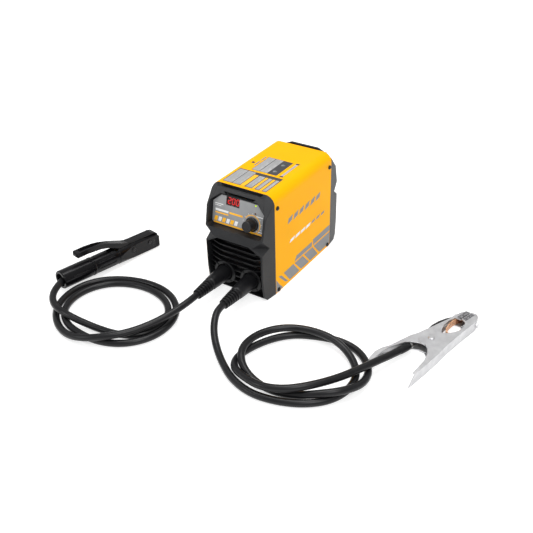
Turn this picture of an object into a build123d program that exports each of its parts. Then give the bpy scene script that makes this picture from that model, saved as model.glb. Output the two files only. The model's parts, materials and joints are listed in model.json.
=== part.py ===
from build123d import *
from math import cos, hypot, pi, radians, sin, sqrt, tan
import os

# Stick welding inverter with both leads, an electrode holder and a ground clamp.
# Millimetres, +Z up, front of the machine towards -Y, origin in the middle of the machine's base.

# ---- driving dimensions ----
WIDTH = 130.0
HEIGHT = 200.0
HALF_LENGTH = 100.0
CORNER = 17.6
SHEET = 1.2
WALL = 3.0
SOCKET_X = 28.5
SOCKET_Z = 32.5
LEAD_R = 6.25
PANEL_TILT = radians(10.09)
PANEL_ORIGIN = (0.0, -115.03, 150.0)
KNOB_X = 28.5
KNOB_Z = 144.4
FAN_Z = 52.0
BOARD_Z = 120.0
PLUG_TAIL = 211.0

FRONT = Plane(origin=(0, 0, 0), x_dir=(1, 0, 0), z_dir=(0, -1, 0))
SIDE = Plane(origin=(0, 0, 0), x_dir=(0, -1, 0), z_dir=(-1, 0, 0))
PANEL = Plane(origin=PANEL_ORIGIN, x_dir=(1, 0, 0), z_dir=(0, -cos(PANEL_TILT), sin(PANEL_TILT)))

# Holder: x runs from its tail to its jaws, y to its left, z up.
HOLDER_TAIL = (-281.6, -294.7, 23.0)
HOLDER_AXIS = (46.2, 223.3, -7.5)
HOLDER = Plane(origin=HOLDER_TAIL, x_dir=HOLDER_AXIS, z_dir=(7.5 * 0.2026, 7.5 * 0.9793, 228.03))
LEVER_PIVOT = (158.0, 5.0)
# Clamp: lies on its side with the pivot upright.
CLAMP_PIVOT = (364.0, -97.0)
CLAMP_HEIGHT = 20.0
CLAMP_SHEET = 1.5

# Each lead, from its plug to its tool, as the corners its centre line is rounded at.
ELECTRODE_LEAD = [
    (-28.5, -211, 32.5), (-28.5, -230, 32.5), (-31, -249, 31), (-37, -272, 28), (-50, -303, 22.5),
    (-70, -340, 19.5), (-96, -373, 20.5), (-134, -393, 14.5), (-175, -393, 6.3),
    (-213, -377, 6.3), (-243, -348, 6.3), (-257, -311, 6.3), (-255, -271, 6.3),
    (-235, -237, 6.3), (-200, -213, 6.3), (-160, -201, 6.3), (-117, -201, 6.3),
    (-79, -216, 6.3), (-50, -244, 6.3), (-37, -283, 6.3), (-43, -325, 6.3),
    (-70, -360, 6.3), (-110, -378, 6.3), (-153, -379, 6.3), (-193, -371, 6.3),
    (-226, -347, 6.3), (-241, -310, 6.3), (-236, -270, 6.3), (-214, -238, 6.3),
    (-178, -219, 6.3), (-138, -214, 6.3), (-101, -222, 6.3), (-74, -239, 6.3),
    (-57, -262, 6.3), (-51, -289, 6.3), (-56, -315, 6.3), (-73, -336, 6.3),
    (-103, -348, 6.3), (-139, -354, 8.5), (-174, -360, 15), (-204, -363, 21.3),
    (-233, -357, 21.3), (-257, -341, 21.7), (-273, -315, 22.5), (-279.4, -287.5, 23)]
GROUND_LEAD = [
    (28.5, -211, 32.5), (28.5, -227, 32.5), (34, -245, 28.5), (48, -269, 20.5), (71, -293, 11.5),
    (100, -316, 6.3), (133, -338, 6.3), (175, -350, 6.3), (218, -344, 6.3),
    (258, -327, 6.3), (288, -299, 6.3), (301, -262, 6.3), (294, -222, 7),
    (264, -193, 12), (228, -181, 19.5), (188, -180, 19.5), (152, -191, 19.3),
    (126, -214, 19.3), (111, -246, 19.3), (112, -282, 19.6), (131, -308, 13.5),
    (161, -322, 6.3), (200, -329, 6.3), (238, -321, 9.4), (273, -307, 18.6),
    (301, -285, 20.5), (316, -247, 12), (307.5, -206.5, 6.3), (277, -176, 6.3),
    (238, -165, 6.3), (197, -174, 6.3), (158, -191, 6.3), (132, -220, 6.3),
    (115, -256, 6.3), (108, -291, 6.3), (122, -318, 10.5), (152, -334, 18),
    (188, -343, 21.5), (225, -333, 25), (256, -306, 26.5), (281, -267, 23),
    (299, -229, 21), (314, -193, 19.5), (324, -161, 13.5), (334, -132, 11)]

CENTRE_MIN = (Align.CENTER, Align.CENTER, Align.MIN)
os.makedirs("parts", exist_ok=True)


# ---- helpers ----
def save(shape, name):
    """Write one sub-part and say what it holds."""
    solids = shape.solids()
    print(f"{name}: {len(solids)} solid(s), {shape.volume / 1000:.2f} cm3")
    export_step(solids[0] if len(solids) == 1 else Compound(children=list(solids)), f"parts/{name}.step")


def flat(points):
    return make_face(Polyline(*points, close=True))


def prism(plane, points, low, high):
    """Straight solid on an outline, from low to high along the plane's normal."""
    return extrude(plane.offset(low) * flat(points), amount=high - low, dir=plane.z_dir)


def block(x0, x1, y0, y1, z0, z1):
    return Pos((x0 + x1) / 2, (y0 + y1) / 2, (z0 + z1) / 2) * Box(x1 - x0, y1 - y0, z1 - z0)


def rod(start, end, radius, end_radius=None):
    """Round bar or cone between two points."""
    axis = Vector(*end) - Vector(*start)
    if end_radius is None or end_radius == radius:
        body = Cylinder(radius, axis.length, align=CENTRE_MIN)
    else:
        body = Cone(radius, end_radius, axis.length, align=CENTRE_MIN)
    return Plane(origin=start, z_dir=axis) * body


def turned(plane, outline):
    """Solid of revolution about the plane's normal; the outline holds (radius, height) pairs."""
    return plane * revolve(Plane.XZ * flat(outline), axis=Axis.Z)


def hexagon(plane, across, height):
    return plane * extrude(RegularPolygon(across / sqrt(3), 6), amount=height)


def group(shapes):
    """Several loose solids that share one sub-part."""
    return Compound(children=[solid for shape in shapes for solid in shape.solids()])


def shifted(points, distance):
    """An open line moved sideways, to the left of its own direction for a positive distance."""
    normals = []
    for (x0, y0), (x1, y1) in zip(points, points[1:]):
        length = hypot(x1 - x0, y1 - y0)
        normals.append(((y0 - y1) / length, (x1 - x0) / length))
    moved = []
    for index, (x, y) in enumerate(points):
        before = normals[max(index - 1, 0)]
        after = normals[min(index, len(normals) - 1)]
        nx, ny = before[0] + after[0], before[1] + after[1]
        scale = distance * 2 / (nx * nx + ny * ny)
        moved.append((x + nx * scale, y + ny * scale))
    return moved


def ribbon(plane, points, thickness, low, high, side=1):
    """Strip of even thickness that follows a line; side 1 thickens it to its left, -1 to its right."""
    return prism(plane, points + shifted(points, side * thickness)[::-1], low, high)


def corner_radii(points):
    radii = []
    for before, here, after in zip(points, points[1:], points[2:]):
        first = Vector(*here) - Vector(*before)
        second = Vector(*after) - Vector(*here)
        half_turn = radians(first.get_angle(second)) / 2
        radii.append(0.45 * min(first.length, second.length) / tan(half_turn))
    return radii


def cord(points, radius, name):
    """Round lead whose centre line is straight runs joined by tangent arcs."""
    radii = corner_radii(points)
    line = FilletPolyline(*points, radius=radii)
    start = Plane(origin=line @ 0, z_dir=line % 0)
    tube = sweep(start * Circle(radius), path=line)
    ratio = tube.volume / (pi * radius * radius * line.length)
    print(name, "length", round(line.length, 1), "volume ratio", round(ratio, 4))
    print(name, "corner radii", [round(r, 1) for r in radii])
    return tube


# ---- case: cover and base ----
def case_section(inset, low, high):
    """The case's outline across the machine, drawn in by inset, from low to high along +Y."""
    half = WIDTH / 2 - inset
    top = HEIGHT - inset
    outline = fillet(flat([(-half, inset), (half, inset), (half, top), (-half, top)]).vertices()
                     .sort_by(Axis.Y)[2:], CORNER - inset)
    return extrude(FRONT.offset(-low) * outline, amount=high - low, dir=(0, 1, 0))


SCREW_SPOTS = [(end * y, z) for end in (-1, 1) for y, z in ((92.0, 175.0), (91.0, 5.5))]
shell = case_section(0, -HALF_LENGTH, HALF_LENGTH) - case_section(SHEET, -101, 101)
shell -= block(-WIDTH / 2 + SHEET, WIDTH / 2 - SHEET, -101, 101, -1, 5)
for y, z in SCREW_SPOTS:
    shell -= rod((-70, y, z), (70, y, z), 2.3)
save(shell, "top_cover")

flange_x = WIDTH / 2 - SHEET
base = block(-flange_x, flange_x, -HALF_LENGTH, HALF_LENGTH, 0, SHEET)
for side in (-1, 1):
    base += block(*sorted((side * flange_x, side * (flange_x - SHEET))), -84, 84, 0, 14)
for x in (-45, -15, 15, 45):
    for y in (-66, 74):
        base -= block(x - 2.5, x + 2.5, y - 8, y + 8, -1, 2)
save(base, "base_plate")

# ---- end mouldings ----
PROFILE = [(90, 0), (124, 0), (131, 8.5), (136.5, 54), (137, 109), (133.5, 126),
           (128.5, 146), (123, 170), (107, 196), (100, 200), (90, 200)]
UPPER = [(-53, 126.5), (53, 126.5), (57, 130.5), (57, 172), (38.5, 186), (-38.5, 186),
         (-57, 172), (-57, 130.5)]
LOWER = [(-57.5, 4), (57.5, 4), (57.5, 96), (34, 109), (-34, 109), (-57.5, 96)]
NOTCH_FRONT = Vector(40, -137, 109)
NOTCH_BACK = Vector(65, -113.5, 106)
NOTCH_UPPER = Vector(60, -133.5, 126)
NOTCH_LOWER = Vector(60, -137, 97)


def end_form(inset):
    """Outer form of an end moulding, drawn in by inset."""
    outline = flat(PROFILE)
    outline = fillet([v for v in outline.vertices() if 101 < v.X < 136.9], 2.5)
    plan = flat([(-65, -90), (-65, -100), (-60, -138), (60, -138), (65, -100), (65, -90)])
    plan = fillet([v for v in plan.vertices() if v.Y < -130], 5)
    if inset:
        outline = offset(outline, -inset, kind=Kind.INTERSECTION)
        plan = offset(plan, -inset, kind=Kind.INTERSECTION)
    side = extrude(SIDE * outline, amount=70, both=True)
    upright = extrude(plan, amount=220)
    form = side & upright & case_section(inset, -150, -80)
    for hand in (-1, 1):
        facet = Plane(origin=(hand * 50, -100, 200), z_dir=(hand * 0.498, -0.666, 0.556))
        form -= facet * (Pos(0, 0, 31.8 - inset) * Box(150, 150, 60))
    return form


def notch(depth):
    """Wedge cut into each front corner; its two faces are pushed into the body by depth."""
    crease = (NOTCH_BACK - NOTCH_FRONT).normalized()

    def square_to_crease(point):
        arm = point - NOTCH_FRONT
        return (arm - crease * arm.dot(crease)).normalized()

    upper = square_to_crease(NOTCH_UPPER)
    lower = square_to_crease(NOTCH_LOWER)
    middle = (upper + lower).normalized()
    half = radians(upper.get_angle(lower)) / 2
    apex = NOTCH_FRONT - middle * (depth / sin(half)) - crease * 60
    reach = 70
    wedge = prism(Plane(origin=apex, x_dir=middle, z_dir=crease),
                  [(0, 0), (reach, -reach * tan(half)), (reach, reach * tan(half))], 0, 150)
    return wedge + mirror(wedge, Plane.YZ)


def opening_tube(outline, depth, ledge, ledge_plane=None):
    """Collar round an opening, with the ledge its panel sits on."""
    grown = offset(flat(outline), 2.5, kind=Kind.INTERSECTION)
    collar = extrude(FRONT.offset(depth) * grown, amount=150 - depth, dir=(0, -1, 0))
    collar -= prism(FRONT, outline, depth - 1, 150)
    inner = offset(flat(outline), -ledge, kind=Kind.INTERSECTION)
    rim = extrude(FRONT.offset(80) * (grown - inner), amount=70, dir=(0, -1, 0))
    if ledge_plane is None:
        rim = rim & block(-70, 70, -depth - 2, -depth, 0, 200)
    else:
        rim = rim & (ledge_plane * (Pos(0, 0, -3) * Box(160, 160, 2)))
    return collar + rim


POCKET = [(-24, 183), (24, 183), (46, 200), (-46, 200)]


def end_moulding(bar):
    """Plastic end frame, modelled at the front: two framed openings, and a pocket under its strap bar."""
    body = end_form(0) & block(-70, 70, -150, -HALF_LENGTH, -1, 201)
    body -= notch(0)
    hollow = end_form(WALL) - notch(WALL)
    hollow -= opening_tube(UPPER, 104, 6, PANEL)
    hollow -= opening_tube(LOWER, 111, 4)
    walls = extrude(FRONT.offset(98.8) * offset(flat(POCKET), 2, kind=Kind.INTERSECTION),
                    amount=14.2, dir=(0, -1, 0))
    hollow -= walls
    frame = body - hollow
    frame -= prism(FRONT, UPPER, 107, 150) & (PANEL * (Pos(0, 0, 38) * Box(160, 200, 80)))
    frame -= prism(FRONT, UPPER, 90, 104)
    frame -= prism(FRONT, LOWER, 113, 150)
    inner_ring = case_section(SHEET + 0.2, -101, -86) - case_section(4, -102, -85)
    back_wall = walls & case_section(SHEET + 0.2, -100, -98)
    for x in (-1, 1):
        for y, z in ((-92, 175), (-91, 5.5)):
            inner_ring += rod((x * 62, y, z), (x * 53, y, z), 4.2) & case_section(1.4, -101, -80)
    frame += inner_ring + back_wall
    frame -= prism(FRONT, POCKET, 100.5, 113.2) & block(-70, 70, -120, -100.5, 183, 205)
    frame += bar
    for x in (-1, 1):
        for y, z in ((-92, 175), (-91, 5.5)):
            frame -= rod((x * 66, y, z), (x * 52, y, z), 2.02)
    return frame


low_bar = prism(SIDE, [(105.6, 196.8), (107, 196), (110.5, 190.3), (108.2, 188.2), (105.2, 192.5)], -46, 46)
low_bar = low_bar & prism(FRONT, [(-25, 181), (25, 181), (48, 200), (-48, 200)], 100, 113)
front_frame = end_moulding(low_bar)
# The rear bar is an arch that stands above the slope.
arch = prism(FRONT, [(-44, 187), (-42, 193.5), (-28, 199.5), (28, 199.5), (42, 193.5), (44, 187)], 107.8, 112.8)
arch -= prism(FRONT, [(-31, 180), (-31, 190.5), (-23, 195.7), (23, 195.7), (31, 190.5), (31, 180)], 107, 113)
arch -= prism(SIDE, [(105, 192), (113.5, 199.6), (113.5, 201), (105, 201)], -50, 50) & prism(
    FRONT, [(-50, 199), (50, 199), (50, 201), (-50, 201)], 107, 113)
rear_frame = mirror(end_moulding(arch), Plane.XZ)
save(front_frame, "front_frame")

case_screws = []
for side in (-1, 1):
    for y, z in SCREW_SPOTS:
        head = turned(Plane(origin=(side * WIDTH / 2, y, z), z_dir=(side, 0, 0)),
                      [(0, -11), (2, -11), (2, 0), (4, 0), (4, 1.6), (2.8, 2.8), (0, 2.8)])
        cross = Plane(origin=(side * (WIDTH / 2 + 2.8), y, z), z_dir=(side, 0, 0))
        head -= cross * (Box(4, 0.9, 2.4) + Box(0.9, 4, 2.4))
        case_screws.append(head)

# ---- control panel ----
PANEL_COS = cos(PANEL_TILT)


def on_panel(x, z, height=0.0):
    """Plane on the panel's face at width x and level z, raised by height."""
    return Plane(PANEL.location * Pos(x, (z - PANEL_ORIGIN[2]) / PANEL_COS, height))


def panel_outline(inset):
    points = [(-53, 126.5), (53, 126.5), (57, 130.5), (57, 168), (39, 183), (-39, 183),
              (-57, 168), (-57, 130.5)]
    face = flat([(x, (z - PANEL_ORIGIN[2]) / PANEL_COS) for x, z in points])
    return offset(face, -inset, kind=Kind.INTERSECTION)


WINDOW = (-28.0, 0.0, 166.0, 182.0)
LED_SPOTS = [(33.5, 179.0), (33.5, 164.8)]


def window_block(margin, low, high):
    """Block over the display window, grown by margin."""
    x0, x1, z0, z1 = WINDOW
    middle = on_panel((x0 + x1) / 2, (z0 + z1) / 2)
    size = (x1 - x0 + 2 * margin, (z1 - z0) / PANEL_COS + 2 * margin)
    return middle * (Pos(0, 0, (low + high) / 2) * Box(size[0], size[1], high - low))


plate = PANEL * extrude(panel_outline(0.65), amount=-2)
plate -= window_block(0, -3, 2)
for x, z in LED_SPOTS:
    plate -= turned(on_panel(x, z), [(0, -3), (1.55, -3), (1.55, 2), (0, 2)])
plate -= turned(on_panel(KNOB_X, KNOB_Z), [(0, -3), (4.6, -3), (4.6, 2), (0, 2)])
save(plate, "control_panel")

label = PANEL * extrude(panel_outline(1.2), amount=0.4)
label -= window_block(0, -3, 2)
for x, z in LED_SPOTS:
    label -= turned(on_panel(x, z), [(0, -3), (1.8, -3), (1.8, 2), (0, 2)])
label -= turned(on_panel(KNOB_X, KNOB_Z), [(0, -3), (7, -3), (7, 2), (0, 2)])
save(label, "control_label")

save(window_block(-0.05, -1.0, 0.6), "display_window")

display = window_block(-2.3, -9, -2.2)
segments = []
SEGMENTS = {"a": (0, 1, True), "b": (1, 0.5, False), "c": (1, -0.5, False), "d": (0, -1, True),
            "e": (-1, -0.5, False), "f": (-1, 0.5, False), "g": (0, 0, True)}
for column, lit in enumerate(("abged", "abcdef", "abcdef")):
    for key in lit:
        across, up, level = SEGMENTS[key]
        size = (4.3, 1.5) if level else (1.5, 4.6)
        spot = Pos((column - 1) * 8.6 + across * 2.6 + up * 0.5, up * 5.4, -1.9)
        place = on_panel((WINDOW[0] + WINDOW[1]) / 2, (WINDOW[2] + WINDOW[3]) / 2)
        segments.append(place * (spot * Box(size[0], size[1], 0.6)))
save(display, "display_module")
save(group(segments), "display_digits")
leds = [turned(on_panel(x, z), [(0, -2), (1.5, -2), (1.5, 0.6), (1.1, 1.3), (0, 1.6)])
        for x, z in LED_SPOTS]
save(group(leds), "indicator_leds")

# Knob, its shaft and the potentiometer behind the panel.
knob_place = on_panel(KNOB_X, KNOB_Z)
knob = turned(knob_place, [(0, 3.4), (6.8, 3.4), (6.8, 0.7), (13, 0.7), (13, 3.2), (12.2, 4.2),
                           (10.6, 4.8), (9.9, 18), (9.2, 19), (0, 19)])
knob -= turned(knob_place, [(0, 3), (3, 3), (3, 14), (0, 14)])
for step in range(20):
    angle = step * 18
    groove = Rot(0, 0, angle) * (Pos(11.0, 0, 12.5) * Box(1.2, 1.0, 11))
    knob -= knob_place * groove
knob += knob_place * (Rot(0, 0, -135) * (Pos(0, 6.2, 19.1) * Box(1.2, 5.5, 0.5)))
save(knob, "current_knob")
save(turned(knob_place, [(0, -8), (3, -8), (3, 14), (0, 14)]), "potentiometer_shaft")
pot = turned(knob_place, [(3.05, -11), (8.5, -11), (8.5, -2), (4.5, -2), (4.5, 3), (3.05, 3)])
pot += turned(knob_place, [(0, -11), (8.5, -11), (8.5, -8.1), (0, -8.1)])
pot += hexagon(knob_place, 11.4, 1.8) - turned(knob_place, [(0, -1), (4.4, -1), (4.4, 3), (0, 3)])
save(pot, "potentiometer_body")

board = PANEL * (Pos(0, (154 - PANEL_ORIGIN[2]) / PANEL_COS, -11.8) * Box(100, 47, 1.6))
for x, z in ((-46, 137), (46, 137), (-43, 168), (43, 168)):
    board += turned(on_panel(x, z), [(0, -11.2), (2.6, -11.2), (2.6, -2), (0, -2)])
board += window_block(-4, -11.2, -9)
save(board, "control_board")

# ---- louvres and output sockets ----
SLAT_TOP = 90.4
SLAT_PITCH = 11.7
lower_fit = offset(flat(LOWER), -0.2, kind=Kind.INTERSECTION)
louvres = extrude(FRONT.offset(113) * lower_fit, amount=3, dir=(0, -1, 0))
inside_opening = extrude(FRONT.offset(112) * lower_fit, amount=20, dir=(0, -1, 0))
for index in range(7):
    z = SLAT_TOP - index * SLAT_PITCH
    line = [(-57.5, z + 8), (-47, z + 3), (-37, z), (37, z), (47, z + 3), (57.5, z + 8)]
    louvres += ribbon(FRONT, line, 2, 115, 126, side=-1) & inside_opening
    if index < 4:
        louvres -= block(-44, 44, -117, -112, z + 1.2, z + 6.2)
for side in (-1, 1):
    centre = (side * SOCKET_X, -112, SOCKET_Z)
    louvres -= rod(centre, (side * SOCKET_X, -116, SOCKET_Z), 19.05)
    louvres -= rod((side * SOCKET_X, -116, SOCKET_Z), (side * SOCKET_X, -130, SOCKET_Z), 23.3)
save(louvres, "front_louvres")

PLUGS = {"electrode": -1, "ground": 1}
nuts = []
insulators = []
contacts = []
for side in (-1, 1):
    # Heights are measured forward of the case's front edge, y = -100.
    place = Plane(origin=(side * SOCKET_X, -100, SOCKET_Z), x_dir=(1, 0, 0), z_dir=(0, -1, 0))
    insulator = turned(place, [(12, 4), (19, 4), (19, 16), (23, 16), (23, 27), (22, 28), (17, 28),
                               (16.2, 27), (16.2, 19), (12, 19)])
    insulator += turned(place, [(7.2, 2), (19, 2), (19, 4), (7.2, 4)])
    for step in range(4):
        groove = Rot(0, 0, 45 + step * 90) * (Pos(19.6, 0, 28) * Box(4.2, 2.4, 2.4))
        insulator -= place * groove
    insulators.append(insulator)
    contact = turned(place, [(0, -17), (5, -17), (5, -4), (7.2, -4), (7.2, 4), (12, 4), (12, 18.9),
                             (6.55, 18.9), (6.55, 5), (0, 5)])
    contacts.append(contact)
    nut_place = Plane(origin=(side * SOCKET_X, -86.5, SOCKET_Z), x_dir=(1, 0, 0), z_dir=(0, -1, 0))
    nuts.append(hexagon(nut_place, 15, -3.2) - rod((side * SOCKET_X, -80, SOCKET_Z),
                                                   (side * SOCKET_X, -90, SOCKET_Z), 5))
save(group(insulators), "socket_insulators")
save(group(contacts), "socket_contacts")

for name, side in PLUGS.items():
    place = Plane(origin=(side * SOCKET_X, -100, SOCKET_Z), x_dir=(1, 0, 0), z_dir=(0, -1, 0))
    outline = [(6.5, 19), (15, 19), (15, 31), (14.2, 48), (13.4, 62), (12.6, 72), (11.8, 74)]
    for rib in range(6):
        start = 75.5 + rib * 6
        big = 11.8 - rib * 0.5
        outline += [(big - 2, start), (big - 2.1, start + 2.2), (big, start + 2.7),
                    (big - 0.2, start + 5.4)]
    tail = PLUG_TAIL - 100
    outline += [(7.6, tail - 0.6), (7.2, tail), (0, tail), (0, 62), (6.5, 62)]
    save(turned(place, outline), f"{name}_plug_sleeve")
    pin = turned(place, [(0, 5.4), (5.6, 5.4), (6.5, 6.4), (6.5, 62), (0, 62)])
    save(pin, f"{name}_plug_pin")

# ---- inside ----
busbars = []
for side in (-1, 1):
    x = side * SOCKET_X
    bar = block(x - 8, x + 8, -89.7, -86.5, 22, BOARD_Z - 3)
    bar += block(x - 8, x + 8, -89.7, -66, BOARD_Z - 3, BOARD_Z)
    busbars.append(bar - rod((x, -80, SOCKET_Z), (x, -95, SOCKET_Z), 5))
save(group(busbars + nuts), "output_busbars")

main_board = block(-55, 55, -84, 84, BOARD_Z, BOARD_Z + 1.6)
save(main_board, "main_board")
sinks = []
for side in (-1, 1):
    x0, x1 = side * 36, side * 58
    sink = block(*sorted((side * 52, x1)), -45, 65, 8, 112)
    sink += block(*sorted((x0, x1)), -45, 65, 106, 112)
    for row in range(13):
        z = 12 + row * 7
        sink += block(*sorted((x0, side * 52)), -45, 65, z, z + 1.8)
    sinks.append(sink)
save(group(sinks), "heatsinks")
mounts = []
for side in (-1, 1):
    for y in (-35, 55):
        mounts.append(block(*sorted((side * 38, side * 58)), y - 6, y + 6, SHEET, 8))
    for y in (-38, 58):
        mounts.append(rod((side * 54.5, y, 112), (side * 54.5, y, BOARD_Z), 3))
modules = []
for side in (-1, 1):
    for y in (-26, -4, 18, 40):
        module = block(*sorted((side * 37, side * 51)), y - 8, y + 8, 112, 116.6)
        for lead in (-5, 0, 5):
            module += block(*sorted((side * 38, side * 39)), y + lead - 0.6, y + lead + 0.6, 116, BOARD_Z)
        modules.append(module)
save(group(modules), "power_modules")
capacitors = [turned(Plane(origin=(x, 40, BOARD_Z + 1.6)),
                     [(0, 0), (14.5, 0), (15, 1), (14.2, 2.5), (15, 4), (15, 44), (14, 45), (0, 45)])
              for x in (-37, 0, 37)]
save(group(capacitors), "bus_capacitors")

core = block(-30, 30, 6, 56, 9, 53) - block(-20, -9, 0, 60, 17, 45) - block(9, 20, 0, 60, 17, 45)
save(core, "transformer_core")
winding = block(-19, 19, -2, 64, 18, 44) - block(-9, 9, 6, 56, 16, 46)
winding -= block(-20, 20, 6, 56, 17, 17.9)
winding += block(-24, 24, -2, 5.9, 9, 18) + block(-24, 24, 56.1, 64, 9, 18)
save(winding, "transformer_winding")
mounts.append(block(-27, 27, -4, 66, SHEET, 9))
choke = Pos(0, -42, 17) * Torus(23, 9)
save(choke, "output_choke")
mounts.append(block(-20, 20, -62, -22, SHEET, 8.6) - choke)
save(group(mounts), "insulating_mounts")

# ---- fan, rear grille and rear panel ----
FAN = Plane(origin=(0, 113, FAN_Z), x_dir=(1, 0, 0), z_dir=(0, -1, 0))
fan = FAN * (Pos(0, 0, 12.5) * Box(80, 80, 25))
fan -= turned(FAN, [(0, -1), (38.6, -1), (38.6, 26), (0, 26)])
for turn in range(4):
    fan += FAN * (Rot(0, 0, 45 + turn * 90) * (Pos(29, 0, 1.25) * Box(24, 4, 2.5)))
fan += turned(FAN, [(2.05, 0), (18, 0), (18, 4), (2.05, 4)])
for x in (-35.7, 35.7):
    for z in (-35.7, 35.7):
        fan -= FAN * (Pos(x, z, 12) * Cylinder(2.2, 40))
save(fan, "fan_frame")
rotor = turned(FAN, [(0, 4.4), (18, 4.4), (18, 22), (16.5, 23.5), (0, 23.5)])
rotor += turned(FAN, [(0, 0.6), (2, 0.6), (2, 5), (0, 5)])
blade = Pos(27, 0, 14) * (Rot(38, 0, 0) * Box(19.5, 19, 1.8))
for turn in range(7):
    rotor += FAN * (Rot(0, 0, turn * 360 / 7) * blade)
rotor = rotor & turned(FAN, [(0, 0), (37.6, 0), (37.6, 24), (0, 24)])
save(rotor, "fan_rotor")

REAR = Plane(origin=(0, 0, 0), x_dir=(-1, 0, 0), z_dir=(0, 1, 0))
grille = extrude(REAR.offset(113) * lower_fit, amount=2.5, dir=(0, 1, 0))
guard = Plane(origin=(0, 113, FAN_Z), x_dir=(-1, 0, 0), z_dir=(0, 1, 0))
grille -= turned(guard, [(0, -1), (37, -1), (37, 4), (0, 4)])
for ring in range(5):
    inner = 6 + ring * 6.6
    grille += turned(guard, [(inner, 0), (inner + 1.6, 0), (inner + 1.6, 2.5), (inner, 2.5)])
grille += turned(guard, [(0, 0), (6.5, 0), (6.5, 2.5), (0, 2.5)])
for turn in range(4):
    grille += guard * (Rot(0, 0, 45 + turn * 90) * (Pos(21, 0, 1.25) * Box(33.5, 2.2, 2.5)))
save(grille, "rear_grille")

REAR_PANEL = Plane(origin=(0, 115.03, 150), x_dir=(-1, 0, 0), z_dir=(0, cos(PANEL_TILT), sin(PANEL_TILT)))


def on_rear(x, z, height=0.0):
    """Plane on the rear panel; x is the machine's own x."""
    return Plane(REAR_PANEL.location * Pos(-x, (z - 150) / PANEL_COS, height))


SWITCH_X = -26.0
GLAND_X = 28.0
REAR_Z = 155.0
switch_place = on_rear(SWITCH_X, REAR_Z)
gland_place = on_rear(GLAND_X, REAR_Z)
rear = REAR_PANEL * extrude(panel_outline(0.65), amount=-2)
rear -= switch_place * Box(28, 22, 6)
rear -= turned(gland_place, [(0, -3), (10, -3), (10, 2), (0, 2)])
rear_spots = [(-49, 134), (49, 134), (-44, 174), (44, 174)]
for x, z in rear_spots:
    rear -= turned(on_rear(x, z), [(0, -3), (1.6, -3), (1.6, 2), (0, 2)])
    rear_frame -= turned(on_rear(x, z), [(0, -3), (1.6, -3), (1.6, -1), (0, -1)])
    case_screws.append(turned(on_rear(x, z), [(0, -2.9), (1.6, -2.9), (1.6, 0), (3, 0), (3, 1.2),
                                              (2, 2), (0, 2)]))
save(rear, "rear_panel")
save(rear_frame, "rear_frame")
save(group(case_screws), "case_screws")

housing = switch_place * (Pos(0, 0, 0.9) * Box(32, 26, 1.8) + Pos(0, 0, -8) * Box(27.9, 21.9, 16))
housing -= switch_place * (Pos(0, 0, 0) * Box(24, 17, 20))
for side in (-1, 1):
    housing -= switch_place * (Pos(side * 12.5, 0, -1) * Rot(0, 90, 0) * Cylinder(1.55, 2))
save(housing, "power_switch_housing")
rocker = switch_place * (Pos(0, 0, -1) * Rot(0, 90, 0) * Cylinder(6.6, 23.4))
cap = extrude(Plane.YZ * flat([(-6.6, -1), (6.6, -1), (6.9, 3.9), (0, 1.9), (-6.9, 1.9)]), amount=11.7, both=True)
rocker += switch_place * cap
rocker += switch_place * (Pos(0, 0, -1) * Rot(0, 90, 0) * Cylinder(1.5, 26.2))
save(rocker, "power_switch_rocker")

gland = hexagon(gland_place, 24, 5)
gland += turned(gland_place, [(4.6, -12), (9.9, -12), (9.9, 0), (12, 0), (12, 5), (11, 5), (11, 12),
                              (9, 16), (7.2, 18), (4.6, 18)])
gland -= turned(gland_place, [(0, -13), (4.6, -13), (4.6, 19), (0, 19)])
gland_nut = hexagon(on_rear(GLAND_X, REAR_Z, -6.4), 25, 4.4)
gland_nut -= turned(gland_place, [(0, -7), (9.9, -7), (9.9, 0), (0, 0)])
save(group([gland, gland_nut]), "cord_gland")

# ---- leads ----
save(cord(ELECTRODE_LEAD, LEAD_R, "electrode_cable"), "electrode_cable")
save(cord(GROUND_LEAD, LEAD_R, "ground_cable"), "ground_cable")

# ---- electrode holder ----
def lengthwise(outline):
    """Solid of revolution about the holder's axis; the outline holds (radius, distance) pairs."""
    return turned(Plane(origin=(0, 0, 0), x_dir=(0, 1, 0), z_dir=(1, 0, 0)), outline)


HOLDER_SIDE = Plane(origin=(0, 0, 0), x_dir=(1, 0, 0), z_dir=(0, -1, 0))
PIVOT_S, PIVOT_H = LEVER_PIVOT

grip = lengthwise([(13, 0), (16.8, 0), (17.8, 1.5), (17.8, 61.5), (16.4, 62.5), (16.4, 64.5), (18, 65.5),
                   (18, 69), (17.4, 70), (17.4, 120.5), (16.4, 121.5), (16.4, 123), (17.8, 124),
                   (17.8, 125), (8.5, 125), (8.5, 24), (13, 24)])
for step in range(10):
    flute = Rot(18 + step * 36, 0, 0) * (Pos(94.5, 0, 19.2) * (Rot(0, 90, 0) * Cylinder(2.8, 38)))
    grip -= flute
for step in range(8):
    flute = Rot(22.5 + step * 45, 0, 0) * (Pos(37, 0, 19.0) * (Rot(0, 90, 0) * Cylinder(1.8, 34)))
    grip -= flute
grip -= block(104, 126, -8.8, 8.8, 10, 20)
save(HOLDER * grip, "holder_grip")

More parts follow.
